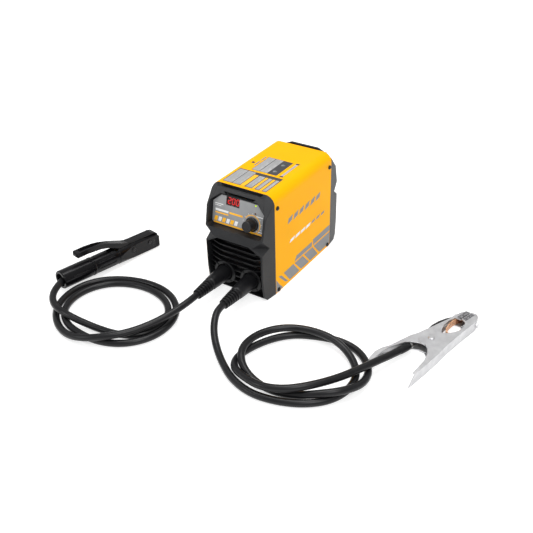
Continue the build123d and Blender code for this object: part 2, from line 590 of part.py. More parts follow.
head = prism(HOLDER_SIDE, [(125, -17), (140, -16), (222, -13), (223, -11), (223, 8), (217, 14), (168, 17.2),
                           (165, 17.6), (125, 17.6)], -20, 20)
head = head & prism(Plane.XY, [(125, -17.6), (140, -16), (160, -13.2), (221, -12.6), (223, -11),
                               (223, 11), (221, 12.6), (160, 13.2), (140, 16), (125, 17.6)], -20, 20)
head = head & (lengthwise([(0, 125), (17.8, 125), (18.6, 160), (18.6, 224), (0, 224)]))
head -= block(124, 224, -8.7, 8.7, -9, 20)
for side in (-1, 1):
    face = Plane(origin=(PIVOT_S, side * 12.4, PIVOT_H), x_dir=(1, 0, 0), z_dir=(0, side, 0))
    head += turned(face, [(0, 0), (9, 0), (9, 1.3), (8, 2.2), (0, 2.2)]) - block(100, 224, -8.7, 8.7, -9, 30)
    for row in range(5):
        groove = block(206 + row * 3.2, 207.2 + row * 3.2, side * 12.3 - 0.4, side * 12.3 + 0.4, -9, 8)
        head -= groove
    head -= rod((197.5, side * 20, 4.2), (197.5, side * 8, 4.2), 2.0)
head -= rod((PIVOT_S, -20, PIVOT_H), (PIVOT_S, 20, PIVOT_H), 3)
save(HOLDER * head, "holder_body")

core = lengthwise([(0, 24), (8.5, 24), (8.5, 125), (0, 125)])
core += block(125, 168, -8.5, 8.5, -9, -4) + block(168, 221, -8.5, 8.5, -9, 0.6)
core += block(125, 130, -8.5, 8.5, -9, 8)
for row in range(4):
    core -= prism(HOLDER_SIDE, [(180 + row * 10, 0.7), (183.5 + row * 10, -2.4), (187 + row * 10, 0.7)], -9, 9)
save(HOLDER * core, "holder_core")

lead_end = Vector(*ELECTRODE_LEAD[-1])
lead_way = (lead_end - Vector(*ELECTRODE_LEAD[-2])).normalized()
elbow = lead_end + lead_way * 6
core_tail = HOLDER.from_local_coords(Vector(24, 0, 0))
core_step = HOLDER.from_local_coords(Vector(18, 0, 0))
boot_points = [tuple(lead_end), tuple(elbow), tuple(core_step), tuple(core_tail)]
boot_line = FilletPolyline(*boot_points, radius=corner_radii(boot_points))
boot = sweep(Plane(origin=boot_line @ 0, z_dir=boot_line % 0) * Circle(7), path=boot_line)
boot += HOLDER * lengthwise([(0, 19.5), (12.9, 19.5), (12.9, 24), (0, 24)])
save(boot, "holder_cable_boot")

lever_outline = [(35.5, 36), (35.5, 40), (38, 43), (60, 43.5), (78, 42.6), (92, 40.5), (110, 35.2), (127, 28.7),
                 (140, 23.6), (150, 20.6), (163, 20), (208, 20), (216, 17.6), (221, 13.5), (221, 6.2),
                 (168, 6.2), (165.9, 3.5), (164.8, -0.3), (161.3, -2.6), (154.7, -2.6), (151.2, 0), (148, 5),
                 (140, 10.4), (122, 20), (106, 26.6), (90, 31), (60, 34), (38, 33.4)]
lever = prism(HOLDER_SIDE, lever_outline, -8, 8)
lever = lever & prism(Plane.XY, [(35.5, -5), (38, -8), (60, -8), (100, -6.6), (130, -8), (221, -8),
                                 (221, 8), (130, 8), (100, 6.6), (60, 8), (38, 8), (35.5, 5)], -20, 60)
lever -= prism(HOLDER_SIDE, [(45, 44), (120, 44), (120, 34.5), (104, 37.5), (90, 39), (60, 40.4), (45, 40.4)],
               -4.5, 4.5)
lever -= rod((PIVOT_S, -20, PIVOT_H), (PIVOT_S, 20, PIVOT_H), 3.05)
save(HOLDER * lever, "holder_lever")
jaw = block(170, 220.5, -7.8, 7.8, 1.0, 6.2)
for row in range(4):
    jaw -= prism(HOLDER_SIDE, [(180 + row * 10, 0.9), (183.5 + row * 10, 4), (187 + row * 10, 0.9)], -9, 9)
save(HOLDER * jaw, "holder_jaw")

pin = rod((PIVOT_S, -15, PIVOT_H), (PIVOT_S, 15, PIVOT_H), 3)
screws = [pin]
for side in (-1, 1):
    pin_face = Plane(origin=(PIVOT_S, side * 14.4, PIVOT_H), x_dir=(1, 0, 0), z_dir=(0, side, 0))
    screws[0] += turned(pin_face, [(0, 0.2), (3.9, 0.2), (3.9, 1.2), (3, 2), (0, 2)])
    face = Plane(origin=(197.5, side * 12.9, 4.2), x_dir=(1, 0, 0), z_dir=(0, side, 0))
    screws.append(turned(face, [(0, -3.6), (2, -3.6), (2, 0), (3.8, 0), (3.8, 1), (2.8, 1.9), (0, 1.9)]))
save(HOLDER * group(screws), "holder_screws")


def coil(radius, wire, pitch, turns, left_hand=False):
    """Round-wire coil round +Z from z = 0."""
    path = Helix(pitch=pitch, height=pitch * turns, radius=radius, lefthand=left_hand)
    start = Plane(origin=path @ 0, z_dir=path % 0)
    return sweep(start * Circle(wire / 2), path=path, is_frenet=True)


save(HOLDER * (Pos(137, 0, -3.3) * coil(4.2, 1.2, 2.26, 5)), "holder_spring")

# ---- ground clamp ----
PX, PY = CLAMP_PIVOT
T = CLAMP_SHEET
OUTER_WEB = [(374, -207), (383, -164), (389, -130), (393, -100), (399, -70), (405, -42), (410, -20),
             (410, -6), (405.5, 2)]
INNER_WEB = [(302.5, -197.5), (299.5, -195.5), (298.3, -192), (298.8, -173), (304, -160), (313, -147), (330, -107),
             (341, -90), (350, -71), (359, -50), (369, -29), (380, -2), (388, 5)]


def teeth(start, end, count, depth):
    """Saw-tooth line between two points, teeth standing to the left of it."""
    (x0, y0), (x1, y1) = start, end
    length = hypot(x1 - x0, y1 - y0)
    nx, ny = (y0 - y1) / length * depth, (x1 - x0) / length * depth
    points = []
    for index in range(count):
        a, b = index / count, (index + 0.5) / count
        points.append((x0 + (x1 - x0) * a, y0 + (y1 - y0) * a))
        points.append((x0 + (x1 - x0) * b + nx, y0 + (y1 - y0) * b + ny))
    return points + [end]


OUTER_TEETH = teeth((388, -24), (396.5, 2.5), 6, 1.2)
INNER_TEETH = teeth((386.4, -23.6), (394.9, 2.9), 6, -1.2)
WINDOW_LEFT = [(376, -23.6), (369.5, -38), (367.5, -52), (368.5, -64), (373, -76)]
WINDOW_RIGHT = [(395.5, -28), (397.5, -38), (396.5, -53), (390, -63), (382, -71), (373, -76)]
outer_plate = (OUTER_WEB + OUTER_TEETH[::-1] + WINDOW_RIGHT
               + [(366, -72), (352, -74), (345, -84), (343.5, -96), (346, -108), (352, -116), (361, -117),
                  (369, -126), (374, -139), (376, -157), (372.5, -192)])
inner_plate = (INNER_WEB[2:] + INNER_TEETH[::-1] + WINDOW_LEFT
               + [(384, -82), (386.5, -94), (384, -106), (376, -114), (364, -117.5), (352, -116), (342, -119),
                  (330, -127), (315, -151), (308, -172), (305.5, -190), (302.5, -196)])
pivot_hole = rod((PX, PY, -1), (PX, PY, CLAMP_HEIGHT + 1), 3.05)

outer = prism(Plane.XY, outer_plate, 0, T) + prism(Plane.XY, outer_plate, CLAMP_HEIGHT - T, CLAMP_HEIGHT)
outer += ribbon(Plane.XY, OUTER_WEB, T, 0, CLAMP_HEIGHT)
outer += ribbon(Plane.XY, [(405.5, 2), (396.5, 2.5)], T, 0, CLAMP_HEIGHT)
outer -= pivot_hole
outer -= prism(SIDE, [(190.5, 21), (207.5, -0.1), (215, -0.1), (215, 21)], -385, -360)
LOW, HIGH = T + 0.3, CLAMP_HEIGHT - T - 0.3
inner = prism(Plane.XY, inner_plate, LOW, LOW + T) + prism(Plane.XY, inner_plate, HIGH - T, HIGH)
inner += ribbon(Plane.XY, INNER_WEB, T, LOW, HIGH, side=-1)
inner += ribbon(Plane.XY, [(388, 5), (394.9, 2.9)], T, LOW, HIGH, side=-1)
inner -= pivot_hole
inner -= prism(SIDE, [(205, 19), (200, 18.4), (163, 1.5), (160, 0), (205, 0)], -330, -290)


def across(line, index, share=0.5):
    """Point on a web and the way out of it, at a share of one of its runs."""
    (x0, y0), (x1, y1) = line[index], line[index + 1]
    length = hypot(x1 - x0, y1 - y0)
    return (x0 + (x1 - x0) * share, y0 + (y1 - y0) * share), ((y0 - y1) / length, (x1 - x0) / length)


def bolt(spot, way, level, inside, radius=3.0, outside=2.0):
    """Hexagon bolt through a web: head outside, shank reaching inside by the given length."""
    (x, y), (nx, ny) = spot, way
    face = Plane(origin=(x + nx * outside, y + ny * outside, level), x_dir=(0, 0, 1), z_dir=(nx, ny, 0))
    return hexagon(face, radius * 3.2, 3.6) + rod((x + nx * outside, y + ny * outside, level),
                                                  (x - nx * inside, y - ny * inside, level), radius)


inner_spot, inner_way = across(INNER_WEB, 10, 0.62)
outer_spot, outer_way = across(OUTER_WEB, 6, 0.5)
outer_way = (-outer_way[0], -outer_way[1])
lug_spot, lug_way = across(INNER_WEB, 8, 0.45)
middle = CLAMP_HEIGHT / 2
inner_bolt = bolt(inner_spot, inner_way, middle, 6, outside=2.3)
outer_bolt = bolt(outer_spot, outer_way, middle, 6, outside=0)
lug_bolt = bolt(lug_spot, lug_way, middle - 1, 5.2, outside=2.3)
inner -= rod(tuple(inner_bolt.center()), (inner_spot[0] - inner_way[0] * 9, inner_spot[1] - inner_way[1] * 9,
                                          middle), 3.0)
inner -= rod((lug_spot[0] + lug_way[0] * 4, lug_spot[1] + lug_way[1] * 4, middle - 1),
             (lug_spot[0] - lug_way[0] * 3, lug_spot[1] - lug_way[1] * 3, middle - 1), 3.0)
outer -= rod((outer_spot[0] + 4, outer_spot[1], middle), (outer_spot[0] - 4, outer_spot[1], middle), 3.0)
save(inner, "clamp_half_fixed")
save(outer, "clamp_half_moving")

rivet = rod((PX, PY, 0.2), (PX, PY, CLAMP_HEIGHT + 1), 3)
rivet += turned(Plane(origin=(PX, PY, CLAMP_HEIGHT)), [(0, 0.05), (5.5, 0.05), (5.5, 1), (3.8, 2.4), (0, 2.6)])
save(group([rivet, inner_bolt, lug_bolt]), "clamp_fasteners")
save(outer_bolt, "clamp_outer_bolt")

wire = 1.8
low, high = 4.6, 15.4
spring = Pos(PX, PY, low) * (Rot(0, 0, -90) * coil(9, wire, (high - low) / 5, 5, left_hand=True))
spring += rod((PX - 0.4, PY - 9, low), (389.6, PY - 9, low), wire / 2 - 0.1)
spring += rod((PX + 0.4, PY - 9, high), (333.6, PY - 9, high), wire / 2 - 0.1)
save(spring, "clamp_spring")

inside_x, inside_y = -inner_way[0], -inner_way[1]
block_plane = Plane(origin=(inner_spot[0] + inside_x * T, inner_spot[1] + inside_y * T, middle),
                    x_dir=(0, 0, 1), z_dir=(inside_x, inside_y, 0))
fixed_contact = block_plane * (Pos(0, 0, 2.6) * Box(12, 13, 5.2))
fixed_contact -= inner_bolt
save(fixed_contact, "clamp_contact_fixed")
inside_x, inside_y = -outer_way[0], -outer_way[1]
block_plane = Plane(origin=(outer_spot[0] + inside_x * T, outer_spot[1] + inside_y * T, middle),
                    x_dir=(0, 0, 1), z_dir=(inside_x, inside_y, 0))
moving_contact = block_plane * (Pos(0, 0, 2.6) * Box(12, 13, 5.2))
moving_contact -= outer_bolt
save(moving_contact, "clamp_contact_moving")

BRAID = [(377, -22), (374, -30), (372, -42), (372.5, -55), (376, -64), (382, -67), (388, -64), (393.5, -55),
         (398, -42), (401, -30), (402, -22)]
save(ribbon(Plane.XY, BRAID, 1.6, 4, 16, side=1), "clamp_braid")

# Dark strap outside the fixed half, from the lug's bolt to the contact's bolt.
STRAP = [(341, -90), (350, -71), (351.5, -59), (356.5, -45), (364, -31.5), (371.4, -22.9), (379.7, -2.5)]
strap = ribbon(Plane.XY, STRAP, 2.2, 4, 16, side=1) - inner_bolt - lug_bolt
save(strap, "clamp_strap")

lead_end = Vector(*GROUND_LEAD[-1])
lead_way = (lead_end - Vector(*GROUND_LEAD[-2])).normalized()
barrel_end = lead_end + lead_way * 13
lug = rod(tuple(lead_end), tuple(barrel_end), 5.4)
palm_outer = shifted(INNER_WEB[7:9], -T)
palm = [(palm_outer[1][0], palm_outer[1][1]), (palm_outer[0][0], palm_outer[0][1]), (338.8, -103), (337.2, -119)]
lug += ribbon(Plane.XY, palm, 2.4, 4.4, 14, side=1)
lug += rod(tuple(barrel_end - lead_way * 3), tuple(barrel_end + lead_way * 3), 5.4, 2.6)
lug -= lug_bolt
save(lug, "cable_lug")

# ---- places of the joints and mounts, in metres ----
lever_place = HOLDER.from_local_coords(Vector(PIVOT_S, 0, PIVOT_H))
rocker_place = Plane(REAR_PANEL.location * Pos(-SWITCH_X, (REAR_Z - 150) / PANEL_COS, -1))
for name, place, direction in (
        ("lever", lever_place, -HOLDER.y_dir), ("knob", knob_place.origin, knob_place.z_dir),
        ("rocker", rocker_place.origin, -rocker_place.x_dir), ("gland", gland_place.origin, gland_place.z_dir)):
    print(name, [round(v / 1000, 6) for v in place], [round(v, 6) for v in direction])
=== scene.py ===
import bpy
import json
import math
from mathutils import Matrix, Vector


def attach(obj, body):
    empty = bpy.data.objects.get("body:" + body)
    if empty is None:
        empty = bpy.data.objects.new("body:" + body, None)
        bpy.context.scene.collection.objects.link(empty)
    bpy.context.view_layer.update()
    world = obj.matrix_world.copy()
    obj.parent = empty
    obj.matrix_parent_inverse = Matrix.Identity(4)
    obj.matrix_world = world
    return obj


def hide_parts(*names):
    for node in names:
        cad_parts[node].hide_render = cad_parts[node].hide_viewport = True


# Looks of a stick welding inverter with its two leads, electrode holder and ground clamp.

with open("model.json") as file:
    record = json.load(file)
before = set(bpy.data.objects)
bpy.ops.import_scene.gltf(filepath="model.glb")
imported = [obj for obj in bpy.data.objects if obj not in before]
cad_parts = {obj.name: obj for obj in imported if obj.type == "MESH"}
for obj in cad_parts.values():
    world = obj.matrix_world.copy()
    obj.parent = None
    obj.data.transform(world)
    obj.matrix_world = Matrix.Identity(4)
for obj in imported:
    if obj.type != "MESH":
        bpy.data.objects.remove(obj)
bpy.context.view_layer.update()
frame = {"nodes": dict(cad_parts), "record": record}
nodes = frame["nodes"]
MM = 0.001

# ---- camera ----
EYE = (0.68307, -1.06092, 0.81218)
CAMERA_RIGHT = Vector((0.84055, 0.54132, -0.02095))
CAMERA_UP = Vector((-0.28287, 0.47155, 0.83524))

camera = bpy.data.objects.new("camera", bpy.data.cameras.new("camera"))
camera.data.sensor_width = 36
camera.data.lens = 51.74
camera.data.clip_start = 0.05
bpy.context.collection.objects.link(camera)
axes = Matrix((CAMERA_RIGHT, CAMERA_UP, CAMERA_RIGHT.cross(CAMERA_UP))).transposed()
camera.matrix_world = Matrix.Translation(EYE) @ axes.to_4x4()
bpy.context.scene.camera = camera
bpy.context.scene.view_settings.view_transform = "Standard"

# ---- leads: control points in millimetres, from plug to tool ----
LEAD_R = 6.25
ELECTRODE_LEAD = [
    (-28.5, -211, 32.5), (-28.5, -230, 32.5), (-31, -249, 31), (-37, -272, 28), (-50, -303, 22.5),
    (-70, -340, 19.5), (-96, -373, 20.5), (-134, -393, 14.5), (-175, -393, 6.3),
    (-213, -377, 6.3), (-243, -348, 6.3), (-257, -311, 6.3), (-255, -271, 6.3),
    (-235, -237, 6.3), (-200, -213, 6.3), (-160, -201, 6.3), (-117, -201, 6.3),
    (-79, -216, 6.3), (-50, -244, 6.3), (-37, -283, 6.3), (-43, -325, 6.3),
    (-70, -360, 6.3), (-110, -378, 6.3), (-153, -379, 6.3), (-193, -371, 6.3),
    (-226, -347, 6.3), (-241, -310, 6.3), (-236, -270, 6.3), (-214, -238, 6.3),
    (-178, -219, 6.3), (-138, -214, 6.3), (-101, -222, 6.3), (-74, -239, 6.3),
    (-57, -262, 6.3), (-51, -289, 6.3), (-56, -315, 6.3), (-73, -336, 6.3),
    (-103, -348, 6.3), (-139, -354, 8.5), (-174, -360, 15), (-204, -363, 21.3),
    (-233, -357, 21.3), (-257, -341, 21.7), (-273, -315, 22.5), (-279.4, -287.5, 23)]
GROUND_LEAD = [
    (28.5, -211, 32.5), (28.5, -227, 32.5), (34, -245, 28.5), (48, -269, 20.5), (71, -293, 11.5),
    (100, -316, 6.3), (133, -338, 6.3), (175, -350, 6.3), (218, -344, 6.3),
    (258, -327, 6.3), (288, -299, 6.3), (301, -262, 6.3), (294, -222, 7),
    (264, -193, 12), (228, -181, 19.5), (188, -180, 19.5), (152, -191, 19.3),
    (126, -214, 19.3), (111, -246, 19.3), (112, -282, 19.6), (131, -308, 13.5),
    (161, -322, 6.3), (200, -329, 6.3), (238, -321, 9.4), (273, -307, 18.6),
    (301, -285, 20.5), (316, -247, 12), (307.5, -206.5, 6.3), (277, -176, 6.3),
    (238, -165, 6.3), (197, -174, 6.3), (158, -191, 6.3), (132, -220, 6.3),
    (115, -256, 6.3), (108, -291, 6.3), (122, -318, 10.5), (152, -334, 18),
    (188, -343, 21.5), (225, -333, 25), (256, -306, 26.5), (281, -267, 23),
    (299, -229, 21), (314, -193, 19.5), (324, -161, 13.5), (334, -132, 11)]


def ride_on(name, data, body):
    """Visible piece made from data, carried by a body."""
    piece = bpy.data.objects.new(name, data)
    bpy.context.collection.objects.link(piece)
    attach(piece, body)
    return piece


def round_curve(name, kind, points, radii):
    """Solid round curve; a bevel depth of one makes each point's radius the real one in metres."""
    curve = bpy.data.curves.new(name, "CURVE")
    curve.dimensions = "3D"
    curve.bevel_depth = 1
    curve.bevel_resolution = 8
    curve.resolution_u = 10
    curve.use_fill_caps = True
    spline = curve.splines.new(kind)
    spline.points.add(len(points) - 1)
    for control, point, radius in zip(spline.points, points, radii):
        control.co = (*[v * MM for v in point], 1)
        control.radius = radius * MM
    return curve


def lead(name, points, node):
    """Free lead on its real route; it stands for the CAD tube."""
    curve = round_curve(name, "NURBS", points, [LEAD_R] * len(points))
    curve.splines[0].order_u = 3
    curve.splines[0].use_endpoint_u = True
    piece = ride_on(name, curve, "machine")
    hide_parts(node)
    return piece


electrode_lead = lead("electrode_lead", ELECTRODE_LEAD, "electrode_cable")
ground_lead = lead("ground_lead", GROUND_LEAD, "ground_cable")


# ---- materials ----
def finish(name, dark, light, rough, metallic=0.0, patch=30.0, grain=0.0, grain_scale=1500.0,
           rounding=0.0, spread=0.06, coat=0.0, stretch=(1, 1, 1), glow=0.0, alpha=1.0, specular=0.5):
    """Procedural surface: patchy colour and gloss, fine grain and edges softened by rounding in mm."""
    made = bpy.data.materials.new(name)
    made.use_nodes = True
    tree = made.node_tree
    tree.nodes.clear()
    new = tree.nodes.new
    link = tree.links.new
    out = new("ShaderNodeOutputMaterial")
    shader = new("ShaderNodeBsdfPrincipled")
    link(shader.outputs["BSDF"], out.inputs["Surface"])
    shader.inputs["Metallic"].default_value = metallic
    shader.inputs["Coat Weight"].default_value = coat
    shader.inputs["Coat Roughness"].default_value = 0.12
    shader.inputs["Specular IOR Level"].default_value = specular
    shader.inputs["Alpha"].default_value = alpha
    where = new("ShaderNodeTexCoord")
    scaled = new("ShaderNodeMapping")
    scaled.inputs["Scale"].default_value = stretch
    link(where.outputs["Object"], scaled.inputs["Vector"])
    cloud = new("ShaderNodeTexNoise")
    cloud.inputs["Scale"].default_value = patch
    cloud.inputs["Detail"].default_value = 5
    link(scaled.outputs["Vector"], cloud.inputs["Vector"])
    ramp = new("ShaderNodeValToRGB")
    ramp.color_ramp.elements[0].position = 0.3
    ramp.color_ramp.elements[1].position = 0.7
    ramp.color_ramp.elements[0].color = (*dark, 1)
    ramp.color_ramp.elements[1].color = (*light, 1)
    link(cloud.outputs["Fac"], ramp.inputs["Fac"])
    link(ramp.outputs["Color"], shader.inputs["Base Color"])
    if glow:
        link(ramp.outputs["Color"], shader.inputs["Emission Color"])
        shader.inputs["Emission Strength"].default_value = glow
    smear = new("ShaderNodeTexNoise")
    smear.inputs["Scale"].default_value = patch * 4
    smear.inputs["Detail"].default_value = 3
    link(scaled.outputs["Vector"], smear.inputs["Vector"])
    gloss = new("ShaderNodeMapRange")
    gloss.inputs["To Min"].default_value = max(rough - spread, 0.02)
    gloss.inputs["To Max"].default_value = min(rough + spread, 1.0)
    link(smear.outputs["Fac"], gloss.inputs["Value"])
    link(gloss.outputs["Result"], shader.inputs["Roughness"])
    soft = None
    if rounding:
        soft = new("ShaderNodeBevel")
        soft.samples = 4
        soft.inputs["Radius"].default_value = rounding * MM
    if grain:
        tooth = new("ShaderNodeTexNoise")
        tooth.inputs["Scale"].default_value = grain_scale
        tooth.inputs["Detail"].default_value = 2
        link(scaled.outputs["Vector"], tooth.inputs["Vector"])
        bump = new("ShaderNodeBump")
        bump.inputs["Strength"].default_value = grain
        bump.inputs["Distance"].default_value = 0.0002
        link(tooth.outputs["Fac"], bump.inputs["Height"])
        if soft:
            link(soft.outputs["Normal"], bump.inputs["Normal"])
        link(bump.outputs["Normal"], shader.inputs["Normal"])
    elif soft:
        link(soft.outputs["Normal"], shader.inputs["Normal"])
    return made


AMBER = finish("amber_paint", (0.92, 0.41, 0.0003), (0.97, 0.445, 0.0006), 0.42, grain=0.12,
               grain_scale=900, rounding=0.8, patch=12, specular=0.06)
FRAME = finish("frame_plastic", (0.009, 0.0095, 0.0105), (0.017, 0.0175, 0.019), 0.38, grain=0.25,
               rounding=1.1, specular=0.26)
BLACK = finish("black_plastic", (0.004, 0.004, 0.005), (0.008, 0.008, 0.009), 0.30, grain=0.25,
               rounding=0.6, specular=0.28)
GLOSS = finish("gloss_black", (0.002, 0.002, 0.003), (0.004, 0.004, 0.005), 0.22, grain=0.04,
               grain_scale=600, rounding=0.9, specular=0.22, spread=0.05)
BLACK_STEEL = finish("black_steel", (0.01, 0.01, 0.011), (0.03, 0.03, 0.032), 0.35, metallic=0.6,
                     patch=300)
PANEL_GREY = finish("panel_plastic", (0.055, 0.057, 0.060), (0.075, 0.077, 0.080), 0.5, grain=0.2)
LABEL = finish("label_film", (0.225, 0.230, 0.235), (0.300, 0.305, 0.310), 0.42, grain=0.15, patch=22)
WINDOW = finish("smoked_window", (0.02, 0.001, 0.001), (0.03, 0.002, 0.002), 0.08, alpha=0.28, patch=20)
DIGITS = finish("red_digits", (0.80, 0.012, 0.014), (0.95, 0.030, 0.030), 0.4, glow=1.1)
ZINC = finish("zinc_steel", (0.52, 0.52, 0.53), (0.66, 0.66, 0.67), 0.40, metallic=0.75, patch=60,
              grain=0.25, grain_scale=450, rounding=0.25, spread=0.12)
SPRING = finish("spring_steel", (0.30, 0.31, 0.32), (0.45, 0.46, 0.47), 0.3, metallic=1.0, patch=200)
TOOTH = finish("tooth_steel", (0.05, 0.05, 0.055), (0.30, 0.30, 0.31), 0.62, metallic=0.4, patch=420,
               grain=0.6, grain_scale=700, specular=0.2)
BRASS = finish("brass", (0.55, 0.38, 0.13), (0.70, 0.50, 0.20), 0.3, metallic=1.0, patch=120,
               rounding=0.3)
COPPER = finish("copper", (0.62, 0.30, 0.16), (0.80, 0.42, 0.25), 0.34, metallic=0.9, patch=120,
                rounding=0.3)
COPPER_WIRE = finish("copper_wire", (0.42, 0.15, 0.06), (0.60, 0.24, 0.10), 0.25, metallic=0.9,
                     patch=60, grain=0.6, grain_scale=300, stretch=(1, 8, 1))
TINNED = finish("tinned_copper", (0.48, 0.47, 0.45), (0.62, 0.61, 0.59), 0.34, metallic=1.0,
                patch=120, rounding=0.3)
BOARD = finish("circuit_board", (0.012, 0.085, 0.03), (0.02, 0.13, 0.05), 0.4, patch=140, coat=0.2)
ALUMINIUM = finish("aluminium", (0.55, 0.56, 0.58), (0.68, 0.69, 0.71), 0.38, metallic=1.0, patch=90,
                   rounding=0.3)
PALE = finish("pale_plastic", (0.42, 0.41, 0.36), (0.52, 0.51, 0.46), 0.55, grain=0.2)
SLEEVE = finish("capacitor_sleeve", (0.012, 0.016, 0.035), (0.02, 0.026, 0.05), 0.3)
FERRITE = finish("ferrite", (0.030, 0.030, 0.033), (0.055, 0.055, 0.058), 0.6, grain=0.5,
                 grain_scale=700)
RUBBER = finish("black_rubber", (0.005, 0.005, 0.006), (0.010, 0.010, 0.011), 0.36, grain=0.25,
                rounding=0.5, specular=0.26)
CABLE = finish("cable_rubber", (0.005, 0.005, 0.006), (0.010, 0.010, 0.011), 0.33, grain=0.18,
               patch=50, spread=0.08, specular=0.27)
STRAP = finish("dark_strap", (0.020, 0.020, 0.021), (0.045, 0.045, 0.046), 0.6, grain=0.7,
               grain_scale=400)
STRIPE = finish("stripe_grey", (0.215, 0.220, 0.225), (0.245, 0.250, 0.255), 0.45, patch=25,
                specular=0.2)
STRIPE_PALE = finish("stripe_pale", (0.33, 0.33, 0.33), (0.42, 0.42, 0.42), 0.45, patch=25,
                     specular=0.2)
INK_WHITE = finish("ink_white", (0.72, 0.72, 0.72), (0.82, 0.82, 0.82), 0.45, patch=60)
INK_DARK = finish("ink_dark", (0.030, 0.030, 0.033), (0.045, 0.045, 0.048), 0.45, patch=60)
INK_AMBER = finish("ink_amber", (0.90, 0.42, 0.002), (1.0, 0.50, 0.006), 0.42, patch=60)


def node_of(tree, kind):
    return next(n for n in tree.nodes if n.type == kind)


WEAVE_SCALE = 320
WEAVE_DEPTH = 0.6 * MM


def braid_finish():
    """Woven copper: two crossing sets of fine ridges."""
    made = finish("copper_braid", (0.70, 0.30, 0.13), (0.98, 0.66, 0.44), 0.42, metallic=0.25, patch=600)
    tree = made.node_tree
    new = tree.nodes.new
    link = tree.links.new
    weave = new("ShaderNodeMath")
    weave.operation = "MAXIMUM"
    for index, turn in enumerate((45, -45)):
        turned = new("ShaderNodeMapping")
        turned.inputs["Rotation"].default_value = (math.radians(turn), math.radians(turn), 0)
        link(node_of(tree, "TEX_COORD").outputs["Object"], turned.inputs["Vector"])
        wave = new("ShaderNodeTexWave")
        wave.inputs["Scale"].default_value = WEAVE_SCALE
        link(turned.outputs["Vector"], wave.inputs["Vector"])
        link(wave.outputs["Fac"], weave.inputs[index])
    bump = new("ShaderNodeBump")
    bump.inputs["Strength"].default_value = 0.9
    bump.inputs["Distance"].default_value = WEAVE_DEPTH
    link(weave.outputs["Value"], bump.inputs["Height"])
    link(bump.outputs["Normal"], node_of(tree, "BSDF_PRINCIPLED").inputs["Normal"])
    return made


LAMP_SPLIT = 172 * MM


def led_finish():
    """Lamp lens: the upper lamp is lit and the lower one, below LAMP_SPLIT, is dark."""
    made = finish("green_led", (0.45, 0.70, 0.01), (0.60, 0.85, 0.03), 0.25, glow=0.6)
    tree = made.node_tree
    new = tree.nodes.new
    link = tree.links.new
    shader = node_of(tree, "BSDF_PRINCIPLED")
    height = new("ShaderNodeSeparateXYZ")
    link(node_of(tree, "TEX_COORD").outputs["Object"], height.inputs["Vector"])
    lit = new("ShaderNodeMath")
    lit.operation = "GREATER_THAN"
    lit.inputs[1].default_value = LAMP_SPLIT
    link(height.outputs["Z"], lit.inputs[0])
    colour = new("ShaderNodeMix")
    colour.data_type = "RGBA"
    colour.inputs["A"].default_value = (0.06, 0.03, 0.02, 1)
    link(lit.outputs["Value"], colour.inputs["Factor"])
    link(node_of(tree, "VALTORGB").outputs["Color"], colour.inputs["B"])
    link(colour.outputs["Result"], shader.inputs["Base Color"])
    link(colour.outputs["Result"], shader.inputs["Emission Color"])
    return made


BRAID = braid_finish()
LED = led_finish()
BY_SLOT = {
    "amber_paint": AMBER, "frame_plastic": FRAME, "black_plastic": BLACK, "gloss_black": GLOSS,
    "black_steel": BLACK_STEEL, "panel_plastic": PANEL_GREY, "label_film": LABEL, "smoked_window": WINDOW,
    "red_digits": DIGITS, "green_led": LED, "zinc_steel": ZINC, "spring_steel": SPRING, "brass": BRASS,
    "copper": COPPER, "copper_wire": COPPER_WIRE, "copper_braid": BRAID, "tinned_copper": TINNED,
    "circuit_board": BOARD, "aluminium": ALUMINIUM, "pale_plastic": PALE, "capacitor_sleeve": SLEEVE,
    "ferrite": FERRITE, "black_rubber": RUBBER, "cable_rubber": CABLE, "dark_strap": STRAP}
for part in frame["record"]["subparts"]:
    shown = nodes[part["node"]]
    shown.data.materials.clear()
    shown.data.materials.append(BY_SLOT[part["material_slot"]])
for piece in (electrode_lead, ground_lead):
    piece.data.materials.append(CABLE)
# The holder's screws take the dark steel finish and show darker than the other fasteners of their slot,
# which stay bright.
nodes["holder_screws"].data.materials[0] = BLACK_STEEL

# ---- clamp details ----
lead_end = Vector(GROUND_LEAD[-1])
lead_way = (lead_end - Vector(GROUND_LEAD[-2])).normalized()
collar_points = [lead_end + lead_way * step for step in (-14, -13, 2, 9, 9.5)]
collar = round_curve("lug_sleeve", "POLY", collar_points, (6.4, 6.75, 6.75, 6.1, 5.6))
collar.materials.append(RUBBER)
ride_on("lug_sleeve", collar, "machine")


def surface(name, points, faces, material):
    """Mesh with one material, from points in metres."""
    mesh = bpy.data.meshes.new(name)
    mesh.from_pydata(points, [], faces)
    mesh.materials.append(material)
    return mesh


TEETH = 9
TOOTH_ROOT = 20.0
TOOTH_TIP = 20.7


def jaw_teeth(name, body, start, end, inward):
    """Raised serrated pad on the flat of a jaw, close to its tip."""
    (x0, y0), (x1, y1) = start, end
    ax, ay = inward
    points = []
    faces = []
    for index in range(TEETH):
        first = len(points)
        for part, z in ((0, TOOTH_ROOT), (0.5, TOOTH_TIP), (1, TOOTH_ROOT)):
            t = (index + part) / TEETH
            x = x0 + (x1 - x0) * t
            y = y0 + (y1 - y0) * t
            points.append((x * MM, y * MM, z * MM))
            points.append(((x + ax) * MM, (y + ay) * MM, z * MM))
        faces += [(first, first + 1, first + 3, first + 2),
                  (first + 2, first + 3, first + 5, first + 4),
                  (first, first + 2, first + 4),
                  (first + 1, first + 5, first + 3)]
    ride_on(name, surface(name, points, faces, TOOTH), body)


jaw_teeth("teeth_fixed_side", "machine", (386.4, -22.6), (393.6, 0.0), (-7.5, 2.2))
jaw_teeth("teeth_moving_side", "clamp_arm", (388.8, -22.8), (396, -0.2), (6.5, -1.9))

